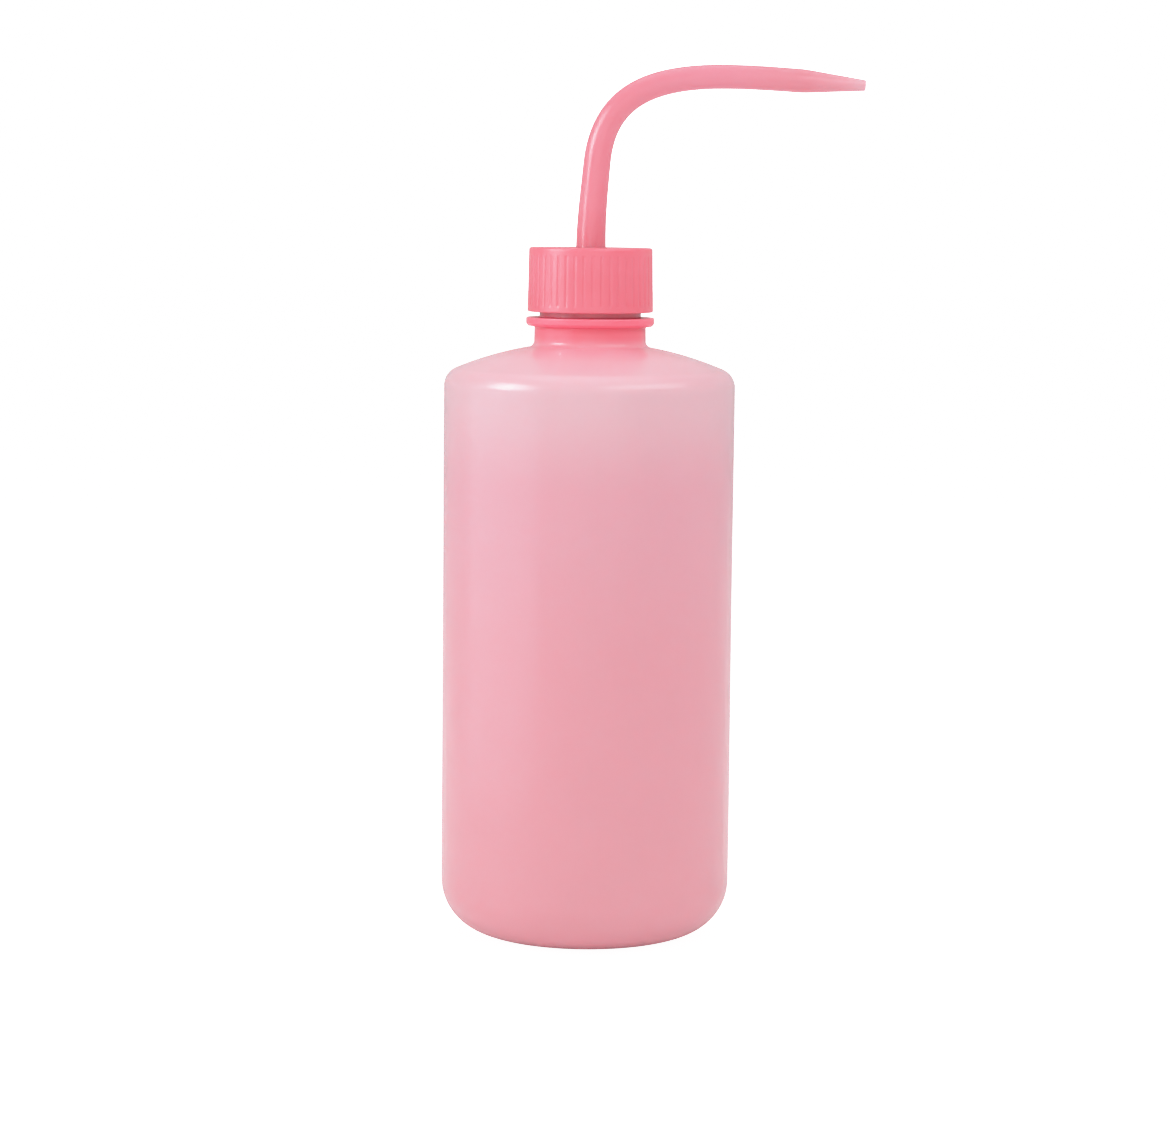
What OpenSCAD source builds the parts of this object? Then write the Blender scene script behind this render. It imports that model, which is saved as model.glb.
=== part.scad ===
// Squeeze wash bottle with a bent spout, made of five separate pieces.
// Millimetres. The origin is on the bottle's axis in the plane it stands on, +Z is up and the
// spout points along +X. The closure is a 28 mm screw cap with a right-hand thread.

/* [Bottle] */
// Outer diameter of the straight side
body_d = 73; // [68:0.5:78]
// Height at which the straight side ends
side_top = 138.3; // [100:0.1:145]
// Wall thickness of the body
wall = 1.2; // [0.8:0.1:1.8]
// Radius of the rounded edge round the base
base_edge_r = 13; // [8:0.5:15]
// Radius of the rounded edge at the top of the side
shoulder_edge_r = 5; // [3:0.5:8]
// Radius of the sphere that the shoulder is part of
shoulder_dome_r = 87; // [70:1:110]
// Height of the raised middle of the base
base_push_up = 1.8; // [1:0.1:3]

/* [Neck] */
// Outer diameter of the neck under the ring
neck_d = 27.9; // [27:0.1:29]
// Clear bore of the mouth
mouth_d = 20.8; // [19:0.1:22]
// Diameter of the ring below the cap
ring_d = 32.1; // [30:0.1:34]
// Height of the neck from the shoulder to the ring
neck_h = 4.9; // [4:0.1:8]
// Thickness of the ring
ring_h = 2.3; // [1.5:0.1:3]
// Height of the threaded finish above the ring
finish_h = 13.2; // [13:0.1:15]

/* [Thread] */
// Rise of the thread in one turn
pitch = 4.233; // [4:0.001:4.3]
// Number of turns
turns = 1.5; // [1:0.25:1.5]
// Outer diameter of the bottle's thread
thread_d = 27.5; // [27.2:0.1:27.7]
// Outer diameter of the neck between the threads
thread_root_d = 25.4; // [25:0.1:25.5]

/* [Cap] */
// Outer diameter at the cap's lower edge
cap_d = 31.44; // [31:0.02:33]
// How much narrower the cap is at its top
cap_draft = 0.5; // [0:0.1:1]
// Height of the cap
cap_h = 16; // [15.8:0.1:16.2]
// Thickness of the cap's top
cap_top = 2; // [1.6:0.1:2.2]
// Number of grooves between the grip ribs
grip_grooves = 44; // [24:1:52]
// Width of each groove
groove_w = 0.9; // [0.5:0.1:1.2]
// Depth of each groove
groove_depth = 0.35; // [0.2:0.05:0.5]

/* [Spout] */
// Outer diameter of the spout where it leaves the cap
spout_d = 7.5; // [6.8:0.1:8]
// Bore of the spout
spout_bore = 4.4; // [4:0.1:4.6]
// Height of the spout's level stretch
crest_z = 215.6; // [205:0.1:225]
// Distance from the axis to the tip
reach = 67.9; // [62:0.1:75]
// Outer diameter at the tip
tip_d = 2.7; // [2.6:0.1:3.4]
// Bore at the tip
tip_bore = 1.8; // [1.2:0.1:1.8]
// Angle that the tip droops below level
tip_droop = 3.6; // [0:0.1:6]

/* [Dip tube and gasket] */
// Outer diameter of the dip tube
dip_d = 6.3; // [5.6:0.1:6.6]
// Height of the dip tube's lowest point
dip_bottom = 6; // [5:0.5:20]
// Angle of the cut across the dip tube's lower end
dip_cut = 40; // [0:1:50]
// Thickness of the gasket
gasket_h = 1; // [0.8:0.1:1.2]

/* [Hidden] */
$fn = 96;

body_r = body_d / 2;
neck_r = neck_d / 2;
mouth_r = mouth_d / 2;
ring_r = ring_d / 2;
thread_r = thread_d / 2;
thread_root_r = thread_root_d / 2;
spout_r = spout_d / 2;
dip_r = dip_d / 2;
edge_break = 0.3;

// The shoulder: a small edge arc runs tangent into a dome centred on the axis.
shoulder_turn = acos((body_r - shoulder_edge_r) / (shoulder_dome_r - shoulder_edge_r));
dome_z = side_top - (shoulder_dome_r - shoulder_edge_r) * sin(shoulder_turn);
neck_fillet = 1.6;
fillet_z = dome_z + sqrt(pow(shoulder_dome_r + neck_fillet, 2) - pow(neck_r + neck_fillet, 2));
fillet_turn = acos((neck_r + neck_fillet) / (shoulder_dome_r + neck_fillet));
neck_throat_r = 12;
throat_turn = acos(neck_throat_r / (shoulder_dome_r - wall));

neck_z = dome_z + sqrt(pow(shoulder_dome_r, 2) - pow(neck_r, 2));
ring_z = neck_z + neck_h;
finish_z = ring_z + ring_h;
lip_z = finish_z + finish_h;

// The base: a flat standing ring, and a middle that is raised off the bench.
stand_in_r = 18;
push_up_r = 14.5;

// The sealing stack on the lip: gasket, spout flange, cap ceiling.
flange_h = 1.2;
flange_z = lip_z + gasket_h;
ceiling_z = flange_z + flange_h;
cap_top_z = ceiling_z + cap_top;
cap_z = cap_top_z - cap_h;
gasket_out_r = 13.3;
flange_r = 12.8;

// Thread form. Each ridge is a trapezium that stands on its wall and fades out at both ends.
thread_below_lip = 2.3;
ridge_root_half = 1.05;
ridge_tip_half = 0.55;
thread_gap = 0.3;
sunk = 0.4;
thread_z = lip_z - thread_below_lip - pitch * turns;
thread_step = 10;
thread_fade = 30;
cap_root_r = thread_r + thread_gap;
cap_thread_r = thread_root_r + thread_gap;
cap_thread_z = thread_z - ridge_root_half - ridge_tip_half - thread_gap;

// Grip grooves lie between two plain bands and follow the draft.
band_top = 2;
band_bottom = 1.6;
cap_r = cap_d / 2;
draft_angle = atan(cap_draft / 2 / cap_h);

// The spout leaves the cap upright, leans, bends over and ends in a straight drooping tip. A pull
// is the length of a curve's handle: a longer one makes a rounder bend.
swivel_gap = 0.05;
collar_h = 1.2;
collar_top = cap_top_z + collar_h;
bend_h = 21.6;
riser_top = [1.3, crest_z - bend_h];
riser_lean = 5.2;
riser_pull = 16.9;
crest = [33.2, crest_z];
crest_pull = 18.6;
level_pull = 7;
droop_pull = 6;
tip_len = 15.4;
tip_sag = 0.85;
tip_root = [reach - tip_len * cos(tip_droop), crest_z - tip_sag];
riser_d = 6.8;
crest_d = 6.1;
tip_root_d = 5.9;
tip_bore_len = 6;
seam = 0.05;
overlap = 0.4;
sides = 24;

// The boss under the spout's flange, with a socket that grips the dip tube.
boss_h = 12;
boss_r = 4.6;
socket_floor = 2;
socket_top = flange_z - socket_floor;
tube_top = socket_top - 0.2;
press = 0.02;
cutter = 40;

// Points along an arc, from angle a to angle b.
function arc(centre, r, a, b, steps) =
    [for (i = [0:steps]) let (t = a + (b - a) * i / steps) centre + r * [cos(t), sin(t)]];

// A list without its first item, for an arc that starts where the one before it ends.
function rest(list) = [for (i = [1:len(list) - 1]) list[i]];

// A point on a cubic curve, and its direction, both in the XZ plane.
function on_curve(p, t) = pow(1 - t, 3) * p[0] + 3 * pow(1 - t, 2) * t * p[1]
    + 3 * (1 - t) * t * t * p[2] + pow(t, 3) * p[3];
function along_curve(p, t) = pow(1 - t, 2) * (p[1] - p[0]) + 2 * (1 - t) * t * (p[2] - p[1])
    + t * t * (p[3] - p[2]);
function ease_out(t) = 1 - pow(1 - t, 2);

// The outside of the bottle from the middle of the base up to the ring.
function outer_outline() = concat(
    [[0, base_push_up], [push_up_r, base_push_up], [stand_in_r, 0]],
    arc([body_r - base_edge_r, base_edge_r], base_edge_r, -90, 0, 12),
    arc([body_r - shoulder_edge_r, side_top], shoulder_edge_r, 0, shoulder_turn, 6),
    rest(arc([0, dome_z], shoulder_dome_r, shoulder_turn, fillet_turn, 8)),
    rest(arc([neck_r + neck_fillet, fillet_z], neck_fillet, fillet_turn + 180, 180, 4)));

// The ring and the lip, going up.
function finish_outline() = [
    [neck_r, ring_z], [ring_r - edge_break, ring_z], [ring_r, ring_z + edge_break],
    [ring_r, finish_z - edge_break], [ring_r - edge_break, finish_z], [thread_root_r, finish_z],
    [thread_root_r, lip_z - edge_break], [thread_root_r - edge_break, lip_z], [mouth_r, lip_z]];

// The inside of the bottle, from the mouth down to the middle of the base.
function inner_outline() = concat(
    [[mouth_r, finish_z], [neck_throat_r, ring_z]],
    arc([0, dome_z], shoulder_dome_r - wall, throat_turn, shoulder_turn, 8),
    rest(arc([body_r - shoulder_edge_r, side_top], shoulder_edge_r - wall, shoulder_turn, 0, 6)),
    arc([body_r - base_edge_r, base_edge_r], base_edge_r - wall, 0, -90, 12),
    [[stand_in_r, wall], [push_up_r, base_push_up + wall], [0, base_push_up + wall]]);

// One helical ridge. from_r lies inside its wall, and to_r is the crest.
module thread_ridge(z, wall_r, to_r, from_r) {
    count = round(360 * turns / thread_step);
    function crest_r(a) = let (fade = min(1, a / thread_fade, (360 * turns - a) / thread_fade))
        wall_r + (to_r - wall_r) * fade;
    function station(a) = let (c = crest_r(a), zz = z + pitch * a / 360, r = [cos(a), sin(a)]) [
        [from_r * r[0], from_r * r[1], zz - ridge_root_half],
        [c * r[0], c * r[1], zz - ridge_tip_half],
        [c * r[0], c * r[1], zz + ridge_tip_half],
        [from_r * r[0], from_r * r[1], zz + ridge_root_half]];
    points = [for (i = [0:count]) each station(i * thread_step)];
    outward = to_r > wall_r;
    quads = [for (i = [0:count - 1], j = [0:3])
        [4 * i + j, 4 * i + (j + 1) % 4, 4 * i + 4 + (j + 1) % 4, 4 * i + 4 + j]];
    ends = [[3, 2, 1, 0], [for (j = [0:3]) 4 * count + j]];
    faces = concat(quads, ends);
    polyhedron(points, outward ? faces : [for (f = faces) [for (k = [3:-1:0]) f[k]]]);
}

module bottle() {
    color("pink") {
        rotate_extrude() polygon(concat(outer_outline(), finish_outline(), inner_outline()));
        thread_ridge(thread_z, thread_root_r, thread_r, thread_root_r - sunk);
    }
}

module cap_shell() {
    rotate_extrude() polygon([
        [cap_root_r + edge_break, cap_z], [cap_r - edge_break, cap_z], [cap_r, cap_z + edge_break],
        [cap_r - cap_draft / 2, cap_top_z - 2 * edge_break],
        [cap_r - cap_draft / 2 - 2 * edge_break, cap_top_z], [spout_r + swivel_gap, cap_top_z],
        [spout_r + swivel_gap, ceiling_z], [cap_root_r, ceiling_z], [cap_root_r, cap_z + edge_break]]);
}

module grip_groove() {
    translate([cap_r, 0, cap_z]) rotate([0, -draft_angle, 0])
        translate([-groove_depth, -groove_w / 2, band_bottom])
            cube([groove_depth + 1, groove_w, cap_h - band_bottom - band_top]);
}

module screw_cap() {
    color("hotpink") {
        difference() {
            cap_shell();
            for (i = [0:grip_grooves - 1]) rotate(i * 360 / grip_grooves) grip_groove();
        }
        thread_ridge(cap_thread_z, cap_root_r, cap_thread_r, cap_root_r + sunk);
    }
}

module gasket() {
    color("white") translate([0, 0, lip_z]) difference() {
        cylinder(r = gasket_out_r, h = gasket_h);
        translate([0, 0, -1]) cylinder(r = mouth_r, h = gasket_h + 2);
    }
}

// The upright foot of the spout: flange, journal through the cap, and the dip tube's socket.
module spout_foot() {
    difference() {
        union() {
            translate([0, 0, flange_z]) cylinder(r = flange_r, h = flange_h);
            translate([0, 0, flange_z]) cylinder(r = spout_r, h = collar_top - flange_z);
            translate([0, 0, flange_z - boss_h]) cylinder(r = boss_r, h = boss_h + flange_h / 2);
        }
        translate([0, 0, flange_z - boss_h - 1])
            cylinder(d = spout_bore, h = boss_h + collar_top - flange_z + 2);
        translate([0, 0, socket_top - boss_h]) cylinder(r = dip_r, h = boss_h);
    }
}

// The bent part, as one hollow skin swept along three cubic curves in the XZ plane.
module spout_bend() {
    foot = [0, collar_top - overlap];
    lean = [sin(riser_lean), cos(riser_lean)];
    droop = [cos(tip_droop), -sin(tip_droop)];
    third = (riser_top[1] - foot[1]) / 3;
    tip_start = tip_root + overlap * droop;
    riser = [foot, foot + [0, third], riser_top - third * lean, riser_top];
    bend = [riser_top, riser_top + riser_pull * lean, crest - [crest_pull, 0], crest];
    level = [crest, crest + [level_pull, 0], tip_start - droop_pull * droop, tip_start];
    function ring_at(curve, t, d, bore) =
        let (p = on_curve(curve, t), v = along_curve(curve, t), n = v / norm(v), r = bore / 2)
        [for (side = [d / 2, r], i = [0:sides - 1]) let (a = 360 * i / sides)
            [p[0] + side * cos(a) * n[1], side * sin(a), p[1] - side * cos(a) * n[0]]];
    start_d = spout_d - 2 * seam;
    end_d = tip_root_d - 3 * seam;
    bend_bore = spout_bore + 2 * seam;
    rings = concat(
        [for (i = [0:7]) ring_at(riser, i / 8, start_d + (riser_d - start_d) * ease_out(i / 8), bend_bore)],
        [for (i = [0:15]) ring_at(bend, i / 16, riser_d + (crest_d - riser_d) * i / 16, bend_bore)],
        [for (i = [0:6]) ring_at(level, i / 6, crest_d + (end_d - crest_d) * i / 6, bend_bore)]);
    count = len(rings);
    points = [for (r = rings) each r];
    function at(ring, skin, i) = (2 * ring + skin) * sides + i % sides;
    outside = [for (k = [0:count - 2], i = [0:sides - 1])
        [at(k, 0, i), at(k + 1, 0, i), at(k + 1, 0, i + 1), at(k, 0, i + 1)]];
    inside = [for (k = [0:count - 2], i = [0:sides - 1])
        [at(k, 1, i), at(k, 1, i + 1), at(k + 1, 1, i + 1), at(k + 1, 1, i)]];
    first_end = [for (i = [0:sides - 1]) [at(0, 0, i), at(0, 0, i + 1), at(0, 1, i + 1), at(0, 1, i)]];
    last_end = [for (i = [0:sides - 1])
        [at(count - 1, 0, i), at(count - 1, 1, i), at(count - 1, 1, i + 1), at(count - 1, 0, i + 1)]];
    polyhedron(points, concat(outside, inside, first_end, last_end));
}

// The straight tapering tip with its fine outlet.
module spout_tip() {
    translate([tip_root[0], 0, tip_root[1]]) rotate([0, 90 + tip_droop, 0]) difference() {
        cylinder(d1 = tip_root_d, d2 = tip_d, h = tip_len);
        translate([0, 0, -seam])
            cylinder(d1 = spout_bore - 2 * seam, d2 = tip_bore, h = tip_len - tip_bore_len);
        translate([0, 0, tip_len - tip_bore_len - 0.1]) cylinder(d = tip_bore, h = tip_bore_len + 1);
    }
}

module nozzle() {
    color("lightcoral") {
        spout_foot();
        spout_bend();
        spout_tip();
    }
}

module dip_tube() {
    outer_r = dip_r + press;
    color("mistyrose") difference() {
        translate([0, 0, dip_bottom]) cylinder(r = outer_r, h = tube_top - dip_bottom);
        translate([0, 0, dip_bottom - 1]) cylinder(d = spout_bore, h = tube_top);
        translate([-outer_r, 0, dip_bottom]) rotate([0, -dip_cut, 0])
            translate([-cutter / 2, -cutter / 2, -cutter]) cube(cutter);
    }
}

bottle();
screw_cap();
gasket();
nozzle();
dip_tube();
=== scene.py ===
"""Looks of the squeeze wash bottle: smooth moulded pieces, their plastics, lights and camera."""

from math import acos, cos, exp, pi, radians, sin, sqrt, tan

import bmesh
import bpy
import numpy as np
from mathutils import Matrix, Vector


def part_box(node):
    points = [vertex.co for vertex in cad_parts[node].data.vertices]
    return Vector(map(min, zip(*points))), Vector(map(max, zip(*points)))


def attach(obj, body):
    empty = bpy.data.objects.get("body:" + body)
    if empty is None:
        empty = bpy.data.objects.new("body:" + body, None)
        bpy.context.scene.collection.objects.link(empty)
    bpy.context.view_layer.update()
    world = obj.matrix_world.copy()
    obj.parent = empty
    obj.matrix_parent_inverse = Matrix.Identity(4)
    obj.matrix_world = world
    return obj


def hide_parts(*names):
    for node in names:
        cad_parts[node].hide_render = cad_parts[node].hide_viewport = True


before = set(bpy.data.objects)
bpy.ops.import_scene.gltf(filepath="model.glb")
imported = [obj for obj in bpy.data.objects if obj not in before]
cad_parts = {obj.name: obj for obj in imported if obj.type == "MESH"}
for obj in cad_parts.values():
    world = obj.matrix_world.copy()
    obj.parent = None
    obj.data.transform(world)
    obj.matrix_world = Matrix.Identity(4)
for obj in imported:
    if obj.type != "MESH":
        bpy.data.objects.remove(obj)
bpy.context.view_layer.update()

MM = 0.001


# ---------------------------------------------------------------- sizes, in millimetres

def mm_box(node):
    """Lowest and highest corners of a CAD node, in millimetres."""
    low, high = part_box(node)
    return low / MM, high / MM


bottle_low, bottle_high = mm_box("bottle")
cap_low, cap_high = mm_box("screw_cap")
gasket_low, gasket_high = mm_box("gasket")
nozzle_low, nozzle_high = mm_box("nozzle")
tube_low, tube_high = mm_box("dip_tube")

# Bottle
BODY_R = bottle_high.x
LIP_Z = bottle_high.z
BASE_EDGE_R = 13.0
SHOULDER_EDGE_R = 5.0
SHOULDER_DOME_R = 87.0
SIDE_TOP = 138.3
PUSH_UP = 1.8
PUSH_UP_R = 14.5
STAND_R = 18.0
WALL = 1.15
BASE_WALL = 1.9
NECK_R = 13.95
NECK_FILLET = 1.6
RING_R = 16.05
RING_H = 2.3
RING_BEVEL = 0.5
RING_BEVEL_H = 0.8
FINISH_H = 13.2
FINISH_Z = LIP_Z - FINISH_H
RING_Z = FINISH_Z - RING_H
MOUTH_R = 10.4
THROAT_R = 12.0
DOME_TURN = acos((BODY_R - SHOULDER_EDGE_R) / (SHOULDER_DOME_R - SHOULDER_EDGE_R))
DOME_Z = SIDE_TOP - (SHOULDER_DOME_R - SHOULDER_EDGE_R) * sin(DOME_TURN)

# Marks of blow moulding: the uneven side, which eases in and out over two bands of height, the moulding
# line and the seam pinched under the base
UNEVEN_DEPTH = 0.035
UNEVEN_START = (12, 30)
UNEVEN_END = (118, 136)
PARTING_HEIGHT = 0.07
PARTING_WIDTH = 0.26
PINCH_HEIGHT = 0.35
PINCH_WIDTH = 0.7
PINCH_REACH = 12.5

# Thread
PITCH = 4.233
TURNS = 1.5
THREAD_R = 13.75
THREAD_ROOT_R = 12.7
RIDGE_ROOT_HALF = 1.05
RIDGE_TIP_HALF = 0.55
THREAD_GAP = 0.3
THREAD_BELOW_LIP = 2.3
THREAD_Z = LIP_Z - THREAD_BELOW_LIP - PITCH * TURNS
THREAD_FADE = 40.0
THREAD_ROOM = 0.6
CAP_THREAD_Z = THREAD_Z - RIDGE_ROOT_HALF - RIDGE_TIP_HALF - THREAD_GAP

# Cap
CAP_R = cap_high.x
CAP_Z = cap_low.z
CAP_TOP = cap_high.z
CAP_DRAFT = 0.25
CAP_THICKNESS = 2.0
CEILING_Z = CAP_TOP - CAP_THICKNESS
CAP_ROOT_R = THREAD_R + THREAD_GAP
CAP_HOLE_R = 3.8
LEAD_IN = 0.35

# Grip grooves: a groove and its flanks are shares of one groove's pitch
GROOVES = 44
GROOVE_SHARE = 0.44
FLANK_SHARE = 0.2
GROOVE_DEPTH = 0.14
GROOVE_END = 0.25
LOW_BAND = 1.6
HIGH_BAND = 2.0
GRIP_LOW = CAP_Z + LOW_BAND
GRIP_HIGH = CAP_TOP - HIGH_BAND
GRIP_FACE_R = CAP_R - 0.6

# Gasket
GASKET_R = gasket_high.x
GASKET_SLACK = 0.01

# Spout
FLANGE_Z = gasket_high.z
FLANGE_R = 12.8
JOURNAL_R = 3.75
BOSS_R = 4.6
BOSS_H = 12.0
BOSS_Z = FLANGE_Z - BOSS_H
SOCKET_FLOOR = 2.0
SOCKET_TOP = FLANGE_Z - SOCKET_FLOOR
SOCKET_PRESS = 0.02
BORE_R = 2.2
TIP_ROOT_R = 2.95
TIP_R = 1.35
TIP_END_R = 1.36
TIP_BORE_R = 0.9
TIP_BORE_LEN = 6.0
TIP_LEN = 15.4
TIP_DROOP = 3.6

# The spout's centreline in XZ. A pull is the length of a curve's handle: a longer one makes a fuller bend.
REACH = 67.9
STRAIGHT_FOOT = 0.8
RISER_FOOT = Vector((0.0, CAP_TOP + STRAIGHT_FOOT))
RISER_TOP = Vector((1.3, 194.0))
RISER_LEAN = 5.2
RISER_PULL = 16.9
CREST = Vector((33.2, 215.6))
CREST_PULL = 18.6
LEVEL_PULL = 7
DROOP_PULL = 6
TIP_SAG = 0.85
TIP_ROOT = Vector((REACH - TIP_LEN * cos(radians(TIP_DROOP)), CREST.y - TIP_SAG))

# Lengths along the spout's centreline and its radius there, from the cap up to the root of the tip
SPOUT_WIDTHS = [(CAP_TOP, JOURNAL_R), (180, 3.6), (187, 3.47), (194, 3.4), (206, 3.24), (226, 3.05)]

# Dip tube
TUBE_R = tube_high.y
TUBE_LOW = tube_low.z
TUBE_TOP = tube_high.z
TUBE_CUT = 40.0
TUBE_CUT_ROOM = 12.0


# ---------------------------------------------------------------- outlines and skins

def arc(centre, r, start, end, steps):
    """Points along an arc, its two angles in degrees."""
    turn = np.radians(np.linspace(start, end, steps + 1))
    return [(centre[0] + r * cos(t), centre[1] + r * sin(t)) for t in turn]


def soften(points, corners, steps=4):
    """An outline whose corners, given as {index: radius}, are rounded."""
    soft = []
    for i, point in enumerate(points):
        here = Vector(point)
        if i not in corners:
            soft.append(tuple(here))
            continue
        before = (Vector(points[i - 1]) - here).normalized()
        after = (Vector(points[(i + 1) % len(points)]) - here).normalized()
        half = before.angle(after) / 2
        reach = corners[i] / tan(half)
        centre = here + (before + after).normalized() * corners[i] / sin(half)
        first = here + before * reach - centre
        last = here + after * reach - centre
        for k in range(steps + 1):
            soft.append(tuple(centre + first.slerp(last, k / steps).normalized() * corners[i]))
    return soft


def dense(points, step, level_step=None):
    """The same outline with points about step apart, or level_step apart where it runs level."""
    out = [points[0]]
    for a, b in zip(points, points[1:]):
        level = abs(a[1] - b[1]) < 0.01
        spacing = level_step if level and level_step else step
        length = sqrt((b[0] - a[0]) ** 2 + (b[1] - a[1]) ** 2)
        count = max(1, round(length / spacing))
        out += [(a[0] + (b[0] - a[0]) * k / count, a[1] + (b[1] - a[1]) * k / count)
                for k in range(1, count + 1)]
    return out


def columns(count, *fine):
    """Angles round a turned piece, with extra ones close to each angle in fine."""
    angles = set(np.round(np.linspace(0, 2 * pi, count, endpoint=False), 6))
    for centre in fine:
        for shift in (-0.014, -0.009, -0.0045, 0.0045, 0.009, 0.014):
            angles.add(round((centre + shift) % (2 * pi), 6))
    return np.array(sorted(angles))


def skin(name, rings, looped):
    """A closed mesh over rings of points in millimetres. Rings on the axis weld to one point."""
    count, around = rings.shape[:2]
    verts = (rings.reshape(-1, 3) * MM).tolist()
    faces = []
    for i in range(count if looped else count - 1):
        low, high = i * around, (i + 1) % count * around
        for j in range(around):
            k = (j + 1) % around
            faces.append((low + j, low + k, high + k, high + j))
    mesh = bpy.data.meshes.new(name)
    mesh.from_pydata(verts, [], faces)
    work = bmesh.new()
    work.from_mesh(mesh)
    bmesh.ops.remove_doubles(work, verts=work.verts, dist=1e-7)
    bmesh.ops.recalc_face_normals(work, faces=work.faces)
    work.to_mesh(mesh)
    work.free()
    mesh.shade_smooth()
    piece = bpy.data.objects.new(name, mesh)
    bpy.context.scene.collection.objects.link(piece)
    return piece


def turned(name, outline, angles, looped=True, relief=None):
    """A skin turned about Z. relief(row, angle, r, z) moves the rows' r and z."""
    rows = np.array(outline)
    r, angle = np.meshgrid(rows[:, 0], angles, indexing="ij")
    z = np.repeat(rows[:, 1:2], len(angles), axis=1)
    if relief:
        row = np.repeat(np.arange(len(rows))[:, None], len(angles), axis=1)
        r, z = relief(row, angle, r, z)
    return skin(name, np.stack([r * np.cos(angle), r * np.sin(angle), z], axis=2), looped)


def smooth_step(value, low, high):
    """0 below low, 1 above high and an even curve between."""
    t = np.clip((value - low) / (high - low), 0, 1)
    return t * t * (3 - 2 * t)


def ridge(angle, z, start_z):
    """How far a thread's ridge stands out at an angle and height, from 0 to 1."""
    out = np.zeros_like(z)
    for lap in range(int(TURNS) + 1):
        turn = np.degrees(angle) + 360 * lap
        off = np.abs(z - start_z - PITCH * turn / 360)
        flank = 1 - smooth_step(off, RIDGE_TIP_HALF, RIDGE_ROOT_HALF)
        fade_in = smooth_step(turn, 0, THREAD_FADE)
        fade_out = 1 - smooth_step(turn, 360 * TURNS - THREAD_FADE, 360 * TURNS)
        out = np.maximum(out, flank * fade_in * fade_out)
    return out


# ---------------------------------------------------------------- pieces

def build_bottle():
    """The blow-moulded bottle: base, side, shoulder, ring and threaded finish in one skin."""
    turn = np.degrees(DOME_TURN)
    base_arc = (BODY_R - BASE_EDGE_R, BASE_EDGE_R)
    shoulder_arc = (BODY_R - SHOULDER_EDGE_R, SIDE_TOP)
    fillet_r = NECK_R + NECK_FILLET
    fillet_z = DOME_Z + sqrt((SHOULDER_DOME_R + NECK_FILLET) ** 2 - fillet_r ** 2)
    fillet_turn = np.degrees(acos(fillet_r / (SHOULDER_DOME_R + NECK_FILLET)))
    base = soften(
        [(0, PUSH_UP), (PUSH_UP_R, PUSH_UP), (STAND_R, 0), (base_arc[0], 0)],
        {1: 3, 2: 3})
    edge = arc(base_arc, BASE_EDGE_R, -90, 0, 24)
    shoulder = arc(shoulder_arc, SHOULDER_EDGE_R, 0, turn, 16)
    side = dense([edge[-1], shoulder[0]], 3)
    dome = arc((0, DOME_Z), SHOULDER_DOME_R, turn + 1, fillet_turn, 14)
    neck = arc((fillet_r, fillet_z), NECK_FILLET, fillet_turn + 180, 180, 8)
    outside = dense(base[:-1] + edge, 0.9) + side[1:] + shoulder[1:] + dome + neck[1:]
    finish = soften([
        neck[-1], (NECK_R, RING_Z), (RING_R - RING_BEVEL, RING_Z + 0.15),
        (RING_R, RING_Z + RING_BEVEL_H), (RING_R, FINISH_Z), (THREAD_ROOT_R, FINISH_Z),
        (THREAD_ROOT_R, LIP_Z), (MOUTH_R, LIP_Z), (MOUTH_R, FINISH_Z)],
        {1: 0.35, 2: 0.2, 3: 0.25, 4: 0.3, 5: 0.4, 6: 0.35, 7: 0.45})
    inner_turn = np.degrees(acos(THROAT_R / (SHOULDER_DOME_R - WALL)))
    threaded_finish = dense(finish[1:-1], 0.18, level_step=0.8)
    inside = dense(
        [*finish[-2:], (THROAT_R, RING_Z)]
        + arc((0, DOME_Z), SHOULDER_DOME_R - WALL, inner_turn, turn + 1, 14)
        + arc(shoulder_arc, SHOULDER_EDGE_R - WALL, turn, 0, 10)
        + arc(base_arc, BASE_EDGE_R - WALL, 0, -70, 16)
        + soften([
            (base_arc[0], BASE_WALL), (STAND_R, BASE_WALL), (PUSH_UP_R, PUSH_UP + BASE_WALL),
            (0, PUSH_UP + BASE_WALL)], {1: 2, 2: 2}),
        4)
    outline = outside + threaded_finish + inside[1:]
    outer_rows = len(outside)
    finish_rows = outer_rows + len(threaded_finish)

    def relief(row, angle, r, z):
        on_outside = row < outer_rows
        on_side = smooth_step(z, *UNEVEN_START) * (1 - smooth_step(z, *UNEVEN_END)) * (r > BODY_R - 2)
        sway = np.sin(2 * angle + 0.9) * np.sin(z / 19) + 0.6 * np.sin(3 * angle - z / 31 + 2)
        r = r + UNEVEN_DEPTH * sway * on_side
        parting = np.exp(-(np.sin(angle) * BODY_R / PARTING_WIDTH) ** 2)
        shown = on_outside * smooth_step(r, 3, 6) * smooth_step(z, 1.5, 4)
        r = r + PARTING_HEIGHT * parting * shown
        on_finish = (row >= outer_rows) & (row < finish_rows)
        threaded = on_finish & (r > THREAD_ROOT_R - 0.2) & (z > FINISH_Z + THREAD_ROOM)
        r = r + (THREAD_R - THREAD_ROOT_R) * ridge(angle, z, THREAD_Z) * threaded
        pinch = np.exp(-(r * np.sin(angle) / PINCH_WIDTH) ** 2)
        under_base = on_outside * (1 - smooth_step(r, PINCH_REACH, PUSH_UP_R))
        z = z - PINCH_HEIGHT * pinch * under_base
        return r, z

    return turned("bottle_shell", outline, columns(240, 0, pi), looped=False, relief=relief)


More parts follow.
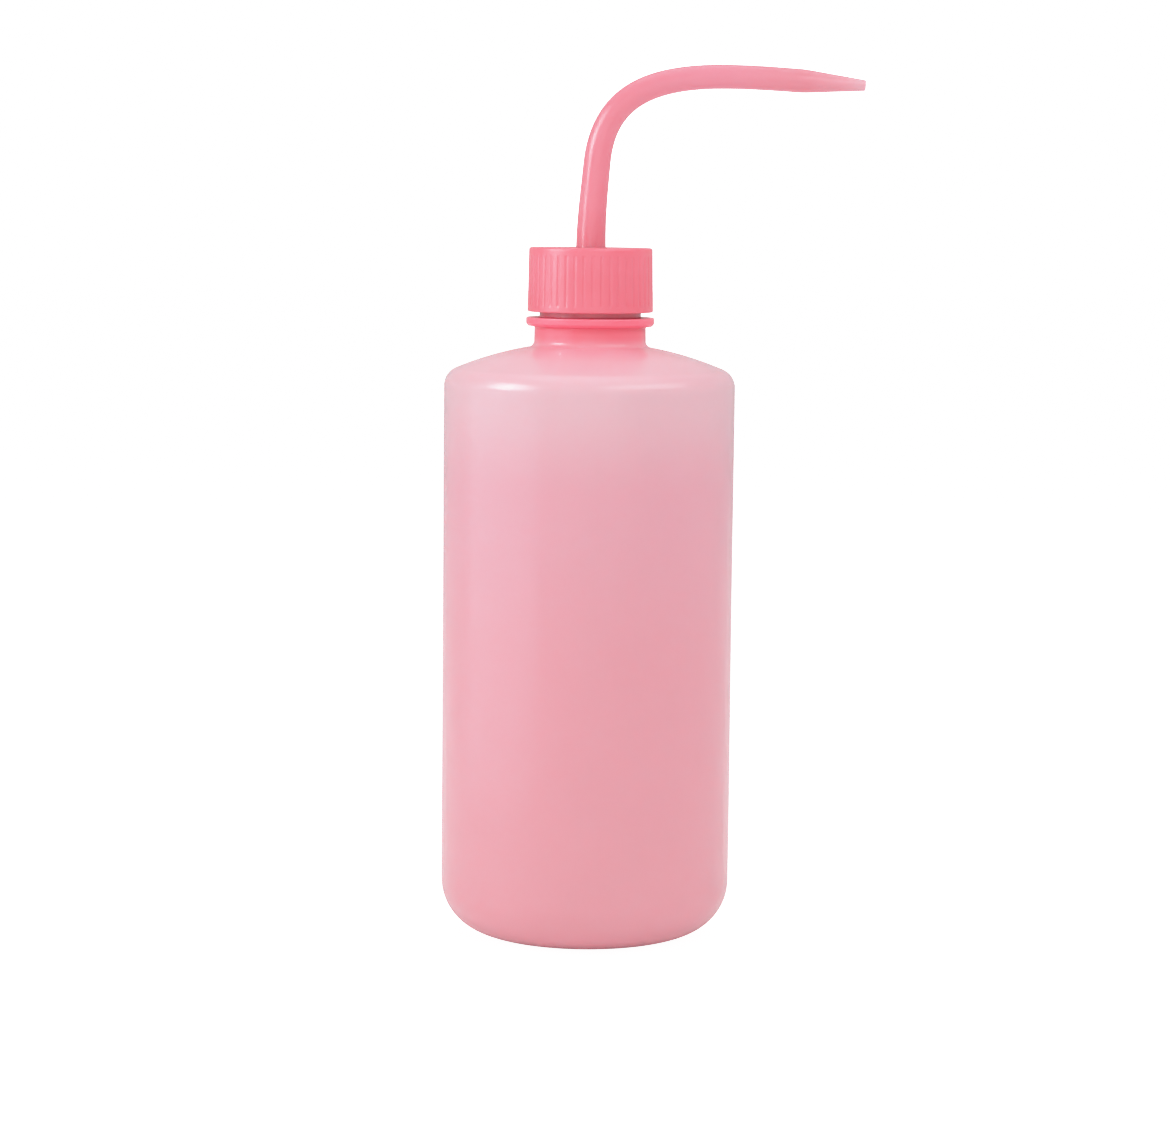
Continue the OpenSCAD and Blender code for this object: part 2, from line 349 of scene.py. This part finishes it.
def build_cap():
    """The screw cap with its grip ribs outside and its thread inside."""
    wall = soften([
        (CAP_ROOT_R + LEAD_IN, CAP_Z), (CAP_R, CAP_Z), (CAP_R - CAP_DRAFT, CAP_TOP),
        (CAP_HOLE_R, CAP_TOP), (CAP_HOLE_R, CEILING_Z), (CAP_ROOT_R, CEILING_Z),
        (CAP_ROOT_R, CAP_Z + LEAD_IN)],
        {1: 0.3, 2: 0.55, 3: 0.25, 4: 0.12, 5: 0.4})
    outline = dense(wall + wall[:1], 0.26, level_step=0.6)[:-1]

    def relief(row, angle, r, z):
        place = (angle * GROOVES / (2 * pi)) % 1
        near_flank = smooth_step(place, 0, FLANK_SHARE)
        far_flank = 1 - smooth_step(place, GROOVE_SHARE - FLANK_SHARE, GROOVE_SHARE)
        low_end = smooth_step(z, GRIP_LOW - GROOVE_END, GRIP_LOW + GROOVE_END)
        high_end = 1 - smooth_step(z, GRIP_HIGH - GROOVE_END, GRIP_HIGH + GROOVE_END)
        cut = near_flank * far_flank * low_end * high_end
        r = r - GROOVE_DEPTH * cut * (r > GRIP_FACE_R)
        threaded = (np.abs(r - CAP_ROOT_R) < 0.05) & (z < CEILING_Z - THREAD_ROOM)
        r = r - (THREAD_R - THREAD_ROOT_R) * ridge(angle, z, CAP_THREAD_Z) * threaded
        return r, z

    return turned("cap_shell", outline, columns(GROOVES * 12), relief=relief)


def build_gasket():
    """The flat sealing washer between the lip and the spout's flange."""
    low = gasket_low.z + GASKET_SLACK
    high = gasket_high.z - GASKET_SLACK
    corners = {i: 0.2 for i in range(4)}
    outline = soften([(MOUTH_R, low), (GASKET_R, low), (GASKET_R, high), (MOUTH_R, high)], corners)
    return turned("seal_washer", outline, columns(128))


def cubic(points, count):
    """Points along one cubic curve."""
    t = np.linspace(0, 1, count)[:, None]
    a, b, c, d = (np.array(p)[None] for p in points)
    return (1 - t) ** 3 * a + 3 * (1 - t) ** 2 * t * b + 3 * (1 - t) * t ** 2 * c + t ** 3 * d


def spout_centreline():
    """Heights along the foot, then lengths along the bend, with points and directions in XZ."""
    lean = Vector((sin(radians(RISER_LEAN)), cos(radians(RISER_LEAN))))
    droop = Vector((cos(radians(TIP_DROOP)), -sin(radians(TIP_DROOP))))
    third = (RISER_TOP.y - RISER_FOOT.y) / 3
    level = Vector((1, 0))
    runs = [
        np.array([(0, BOSS_Z - 1), RISER_FOOT]),
        cubic([RISER_FOOT, RISER_FOOT + Vector((0, third)), RISER_TOP - third * lean, RISER_TOP], 40),
        cubic([RISER_TOP, RISER_TOP + RISER_PULL * lean, CREST - CREST_PULL * level, CREST], 120),
        cubic([CREST, CREST + LEVEL_PULL * level, TIP_ROOT - DROOP_PULL * droop, TIP_ROOT], 40),
        np.array([TIP_ROOT, TIP_ROOT + TIP_LEN * droop])]
    points = np.concatenate([runs[0]] + [run[1:] for run in runs[1:]])
    steps = np.linalg.norm(np.diff(points, axis=0), axis=1)
    along = BOSS_Z - 1 + np.concatenate([[0], np.cumsum(steps)])
    ways = np.gradient(points, along, axis=0)
    return along, points, ways / np.linalg.norm(ways, axis=1)[:, None]


def build_spout():
    """The spout: socket, flange and journal, then the bend and the fine tip, as one hollow skin."""
    along, points, ways = spout_centreline()
    end = along[-1]
    tip_root = end - TIP_LEN
    step = 0.9
    fine = np.arange(CAP_TOP - 4, end + 4, 0.1)
    blur = np.ones(25) / 25
    lengths, radii = zip(*SPOUT_WIDTHS, (tip_root, TIP_ROOT_R), (end, TIP_R))
    eased = np.convolve(np.interp(fine, lengths, radii), blur, mode="same")
    outer = [(np.interp(s, fine, eased), s) for s in np.arange(CAP_TOP, end, step)[1:-2]]
    socket_r = TUBE_R - SOCKET_PRESS
    foot = soften([
        (socket_r, SOCKET_TOP), (socket_r, BOSS_Z), (BOSS_R, BOSS_Z), (BOSS_R, FLANGE_Z),
        (FLANGE_R, FLANGE_Z), (FLANGE_R, CEILING_Z), (JOURNAL_R, CEILING_Z), (JOURNAL_R, CAP_TOP)],
        {1: 0.3, 2: 0.5, 3: 0.5, 4: 0.3, 5: 0.3, 6: 0.04})
    outlet = end - TIP_BORE_LEN
    tip = soften(
        [outer[-1], (TIP_END_R, end), (TIP_BORE_R, end), (TIP_BORE_R, outlet)],
        {1: 0.3, 2: 0.14})
    taper = np.arange(outlet - step, tip_root, -step)
    bore = [(np.interp(s, [tip_root, outlet], [BORE_R, TIP_BORE_R]), s) for s in taper]
    bore += [(BORE_R, s) for s in np.arange(tip_root - step, SOCKET_TOP, -step)]
    bore += [(BORE_R, SOCKET_TOP)]
    rows = np.array(dense(foot, 1.5) + outer + dense(tip[1:], 0.8) + bore)
    angles = columns(64)
    rings = []
    for r, s in rows:
        x, z = (np.interp(s, along, points[:, k]) for k in (0, 1))
        way_x, way_z = (np.interp(s, along, ways[:, k]) for k in (0, 1))
        across = r * np.cos(angles)
        rings.append(np.stack([x + across * way_z, r * np.sin(angles), z - across * way_x], axis=1))
    return skin("bent_spout", np.array(rings), True)


def build_dip_tube():
    """The dip tube, with a slanted cut at its lower end."""
    straight = TUBE_LOW + TUBE_CUT_ROOM
    rows = dense([(TUBE_R, straight), (TUBE_R, TUBE_TOP), (BORE_R, TUBE_TOP), (BORE_R, straight)], 6)
    cut_end = [(BORE_R, TUBE_LOW), (TUBE_R, TUBE_LOW)]
    outline = cut_end + rows

    def relief(row, angle, r, z):
        rise = (r * np.cos(angle) + TUBE_R) * tan(radians(TUBE_CUT))
        return r, np.where(row < len(cut_end), z + rise, z)

    return turned("draw_tube", outline, columns(64), relief=relief)


# ---------------------------------------------------------------- materials

def srgb(r, g, b):
    """A linear colour from 8-bit display values."""
    def linear(v):
        v /= 255
        return v / 12.92 if v <= 0.04045 else ((v + 0.055) / 1.055) ** 2.4
    return (linear(r), linear(g), linear(b), 1.0)


class Plastic:
    """A Principled material with its node tree, and short calls that add to it."""

    def __init__(self, name, **values):
        self.material = bpy.data.materials.new(name)
        self.material.use_nodes = True
        self.tree = self.material.node_tree
        self.shader = self.tree.nodes["Principled BSDF"]
        for socket, value in values.items():
            self.shader.inputs[socket.replace("_", " ")].default_value = value
        self.place = self.tree.nodes.new("ShaderNodeTexCoord").outputs["Object"]

    def node(self, kind, inputs=None, **settings):
        """A new node. Each input is another node's output, which is linked, or a plain value."""
        node = self.tree.nodes.new(kind)
        for key, value in settings.items():
            setattr(node, key, value)
        for key, value in (inputs or {}).items():
            if isinstance(value, bpy.types.NodeSocket):
                self.tree.links.new(value, node.inputs[key])
            else:
                node.inputs[key].default_value = value
        return node

    def noise(self, scale, detail=2.0, stretch=(1, 1, 1)):
        """A noise value from 0 to 1. scale is in features a metre."""
        place = self.node("ShaderNodeVectorMath", {0: self.place, 1: stretch}, operation="MULTIPLY")
        inputs = {"Vector": place.outputs[0], "Scale": scale, "Detail": detail}
        return self.node("ShaderNodeTexNoise", inputs).outputs["Fac"]

    def ramp(self, value, stops):
        """Colours at stops along a value."""
        node = self.node("ShaderNodeValToRGB", {"Fac": value})
        node.color_ramp.interpolation = "EASE"
        marks = node.color_ramp.elements
        while len(marks) < len(stops):
            marks.new(0.5)
        for mark, (position, colour) in zip(marks, stops):
            mark.position = position
            mark.color = colour
        return node.outputs["Color"]

    def along(self, axis, low, high):
        """0 to 1 between two places, in millimetres, along an axis."""
        part = self.node("ShaderNodeSeparateXYZ", {0: self.place}).outputs[axis]
        inputs = {"Value": part, "From Min": low * MM, "From Max": high * MM}
        return self.node("ShaderNodeMapRange", inputs).outputs[0]

    def spread(self, value, low, high):
        """A 0 to 1 value mapped to a range."""
        inputs = {"Value": value, "To Min": low, "To Max": high}
        return self.node("ShaderNodeMapRange", inputs).outputs[0]

    def scaled(self, colour, light):
        """The colour made lighter or darker."""
        return self.node("ShaderNodeVectorMath", {0: colour, 3: light}, operation="SCALE").outputs[0]

    def mottle(self, colour, amount, scale):
        """The colour with soft cloudy patches of lighter and darker."""
        return self.scaled(colour, self.spread(self.noise(scale, 3), 1 - amount, 1 + amount))

    def set(self, socket, value):
        """Links an output to one of the shader's inputs."""
        self.tree.links.new(value, self.shader.inputs[socket])

    def bump(self, layers):
        """Bump from (height, depth in millimetres) layers."""
        normal = None
        for height, depth in layers:
            inputs = {"Height": height, "Distance": depth * MM, "Strength": 1.0}
            node = self.node("ShaderNodeBump", inputs)
            if normal:
                self.tree.links.new(normal, node.inputs["Normal"])
            normal = node.outputs["Normal"]
        self.set("Normal", normal)


def bottle_plastic():
    """Milky pink polyethylene: deep at the base, paler above, strong in the neck, with painted light on
    the finish.
    """
    m = Plastic("bottle_polyethylene", Subsurface_Weight=0.75, IOR=1.5)
    m.shader.inputs["Subsurface Radius"].default_value = (1.0, 0.62, 0.6)
    height = m.along("Z", 0, LIP_Z)
    colour = m.ramp(height, [
        (0.0, srgb(240, 155, 166)), (0.05, srgb(238, 160, 170)), (0.4, srgb(238, 160, 171)),
        (0.66, srgb(237, 166, 178)), (0.82, srgb(238, 184, 193)), (0.86, srgb(241, 177, 188)),
        (0.88, srgb(242, 157, 171)), (0.895, srgb(236, 123, 140)), (0.91, srgb(238, 112, 132)),
        # The last stop paints the finish paler from just above the ring to the lip: painted light that
        # brightens the shaded gap between the cap's skirt and the ring, in place of light passing through
        # the translucent plastic.
        (0.921, srgb(240, 114, 134)), (0.925, srgb(248, 142, 159))])
    m.set("Base Color", m.mottle(colour, 0.02, 28))
    up_neck = m.along("Z", SIDE_TOP, RING_Z)
    m.set("Transmission Weight", m.spread(up_neck, 0.22, 0.0))
    m.set("Subsurface Scale", m.spread(up_neck, 0.004, 0.001))
    streaks = m.noise(700, 3, stretch=(1, 1, 0.04))
    grain = m.noise(2600, 2)
    m.set("Roughness", m.spread(m.noise(60, 4), 0.19, 0.26))
    m.bump([(m.noise(45, 2), 0.12), (streaks, 0.008), (grain, 0.004)])
    return m.material


def cap_plastic():
    """Stronger pink, semi-gloss moulded plastic."""
    m = Plastic("cap_moulded", Subsurface_Weight=0.5, Subsurface_Scale=0.003, IOR=1.49,
                Specular_IOR_Level=0.8)
    m.shader.inputs["Subsurface Radius"].default_value = (1.0, 0.5, 0.5)
    colour = m.ramp(m.noise(90, 2), [(0.3, srgb(219, 102, 119)), (0.7, srgb(223, 108, 125))])
    m.set("Base Color", colour)
    m.set("Roughness", m.spread(m.noise(140, 4), 0.3, 0.38))
    m.bump([(m.noise(160, 2), 0.02), (m.noise(2400, 2), 0.004)])
    return m.material


def spout_plastic():
    """Satin pink polyethylene that thins to a paler tip."""
    m = Plastic("spout_polyethylene", Subsurface_Weight=0.7, Subsurface_Scale=0.003, IOR=1.5,
                Transmission_Weight=0.08)
    m.shader.inputs["Subsurface Radius"].default_value = (1.0, 0.55, 0.55)
    colour = m.ramp(m.along("X", 5, 70), [
        (0.0, srgb(225, 130, 145)), (0.4, srgb(229, 137, 153)), (0.73, srgb(223, 135, 148)),
        (0.85, srgb(219, 145, 157)), (0.95, srgb(219, 158, 169))])
    m.set("Base Color", m.mottle(colour, 0.02, 80))
    m.set("Roughness", m.spread(m.noise(120, 4), 0.19, 0.26))
    m.bump([(m.noise(130, 2), 0.03), (m.noise(2200, 2), 0.004)])
    return m.material


def tube_plastic():
    """Milky polyethylene, paler than the bottle and faintly streaked along the tube."""
    m = Plastic("tube_polyethylene", Subsurface_Weight=0.5, Subsurface_Scale=0.003, IOR=1.5,
                Transmission_Weight=0.3)
    colour = m.ramp(m.noise(50, 2), [(0.3, srgb(246, 214, 219)), (0.7, srgb(248, 222, 226))])
    m.set("Base Color", colour)
    m.set("Roughness", m.spread(m.noise(300, 3), 0.3, 0.42))
    m.bump([(m.noise(900, 2, stretch=(1, 1, 0.05)), 0.01)])
    return m.material


def washer_foam():
    """Fine-celled white foam."""
    m = Plastic("washer_foam", IOR=1.45)
    cells = m.node("ShaderNodeTexVoronoi", {"Vector": m.place, "Scale": 3200}).outputs["Distance"]
    m.set("Base Color", m.ramp(cells, [(0.1, srgb(214, 208, 206)), (0.6, srgb(242, 239, 237))]))
    m.set("Roughness", m.spread(m.noise(900, 3), 0.6, 0.8))
    m.bump([(cells, 0.03)])
    return m.material


# ---------------------------------------------------------------- studio

# Brightness at which the picture is pure white, and at which the tone curve begins to bend
WHITE_LEVEL = 3.0
KNEE = 0.78

SURROUND_LIGHT = 0.61

CAMERA_PLACE = Vector((-0.00067, -0.82, 0.18436))
CAMERA_PITCH = radians(6.403)
CAMERA_ROLL = radians(0.578)
CAMERA_LENS = 100.5


def build_floor():
    """A large plain white floor, lit from below like a light table and a little dimmer in gloss."""
    mesh = bpy.data.meshes.new("studio_floor")
    half, level = 6.0, -0.0001
    corners = [(-half, -half, level), (half, -half, level), (half, half, level), (-half, half, level)]
    mesh.from_pydata(corners, [], [(0, 1, 2, 3)])
    floor = bpy.data.objects.new("studio_floor", mesh)
    bpy.context.scene.collection.objects.link(floor)
    m = Plastic("studio_floor_acrylic", Roughness=0.9, Emission_Color=(1, 1, 1, 1))
    white = m.ramp(m.noise(3, 2), [(0.3, (0.93, 0.93, 0.93, 1)), (0.7, (0.95, 0.95, 0.95, 1))])
    rays = m.node("ShaderNodeLightPath").outputs
    m.set("Base Color", m.scaled(white, m.spread(rays["Is Glossy Ray"], 1, 0.75)))
    m.set("Emission Strength", m.spread(rays["Is Camera Ray"], 0.1, 1.2))
    floor.data.materials.append(m.material)


def softbox(name, place, size, power, aim=(0, 0, 0.12)):
    """A rectangular area light that faces aim."""
    light = bpy.data.lights.new(name, "AREA")
    light.shape = "RECTANGLE"
    light.size, light.size_y = size
    light.energy = power
    lamp = bpy.data.objects.new(name, light)
    lamp.location = place
    lamp.rotation_euler = (Vector(aim) - Vector(place)).to_track_quat("-Z", "Y").to_euler()
    bpy.context.scene.collection.objects.link(lamp)
    return lamp


def build_lights():
    """Softboxes round the bottle, a cool panel and a strip seen only as gloss, and a white surround.

    The back softbox leaves no gloss, so that the far shoulder keeps its colour.
    """
    softbox("left_softbox", (-0.9, -0.35, 0.58), (0.75, 0.5), 5.9)
    softbox("right_softbox", (0.62, -0.52, 0.78), (1.2, 0.45), 4.9)
    softbox("top_softbox", (0, 0, 1.1), (1.0, 1.0), 2.4)
    softbox("front_softbox", (0, -1.5, 0.35), (1.6, 0.7), 2.4)
    back = softbox("back_softbox", (0.15, 0.75, 0.85), (0.8, 0.8), 2.2)
    back.visible_glossy = False
    panel = softbox("left_panel", (-0.215, -0.081, 0.1), (0.28, 0.2), 0.17, aim=(0, 0, 0.1))
    strip = softbox("left_strip", (-0.228, -0.102, 0.245), (0.05, 0.14), 0.15, aim=(0, 0, 0.245))
    panel.data.color = (0.55, 0.87, 1)
    for lamp in (panel, strip):
        lamp.visible_camera = lamp.visible_diffuse = lamp.visible_transmission = False
    world = bpy.data.worlds.new("studio")
    world.use_nodes = True
    nodes, links = world.node_tree.nodes, world.node_tree.links
    lit_by, seen = nodes["Background"], nodes.new("ShaderNodeBackground")
    lit_by.inputs["Color"].default_value = seen.inputs["Color"].default_value = (1, 1, 1, 1)
    lit_by.inputs["Strength"].default_value = SURROUND_LIGHT
    seen.inputs["Strength"].default_value = WHITE_LEVEL
    mix = nodes.new("ShaderNodeMixShader")
    links.new(nodes.new("ShaderNodeLightPath").outputs["Is Camera Ray"], mix.inputs[0])
    links.new(lit_by.outputs[0], mix.inputs[1])
    links.new(seen.outputs[0], mix.inputs[2])
    links.new(mix.outputs[0], nodes["World Output"].inputs["Surface"])
    bpy.context.scene.world = world


def set_tones():
    """Plain colours, with bright ones eased towards white the way a camera's tone curve does."""
    view = bpy.context.scene.view_settings
    view.view_transform = "Standard"
    view.use_curve_mapping = True
    mapping = view.curve_mapping
    mapping.white_level = (WHITE_LEVEL, WHITE_LEVEL, WHITE_LEVEL)
    points = mapping.curves[3].points
    for light in (0.3, KNEE, 0.85, 0.95, 1.1, 1.3, 1.6):
        room = 1 - KNEE
        shown = light if light <= KNEE else KNEE + room * (1 - exp(-(light - KNEE) / room))
        points.new(light / WHITE_LEVEL, shown)
    mapping.update()


def build_camera():
    """The camera in front of the bottle and a little above its middle, with a slight roll."""
    forward = Vector((0, cos(CAMERA_PITCH), -sin(CAMERA_PITCH)))
    level_right = Vector((1, 0, 0))
    level_up = Vector((0, sin(CAMERA_PITCH), cos(CAMERA_PITCH)))
    right = level_right * cos(CAMERA_ROLL) + level_up * sin(CAMERA_ROLL)
    up = level_up * cos(CAMERA_ROLL) - level_right * sin(CAMERA_ROLL)
    turn = Matrix((right, up, -forward)).transposed().to_4x4()
    data = bpy.data.cameras.new("camera")
    data.lens = CAMERA_LENS
    data.sensor_width = 36
    data.clip_start = 0.01
    camera = bpy.data.objects.new("camera", data)
    camera.matrix_world = Matrix.Translation(CAMERA_PLACE) @ turn
    bpy.context.scene.collection.objects.link(camera)
    bpy.context.scene.camera = camera


# ---------------------------------------------------------------- the whole object

def fit(piece, body, node, material):
    """The piece rides on a body, stands for its CAD node, and gets its material."""
    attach(piece, body)
    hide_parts(node)
    piece.data.materials.append(material)


fit(build_bottle(), "bottle", "bottle", bottle_plastic())
fit(build_cap(), "cap", "screw_cap", cap_plastic())
fit(build_gasket(), "gasket", "gasket", washer_foam())
fit(build_spout(), "spout", "nozzle", spout_plastic())
fit(build_dip_tube(), "spout", "dip_tube", tube_plastic())
build_floor()
build_lights()
set_tones()
build_camera()
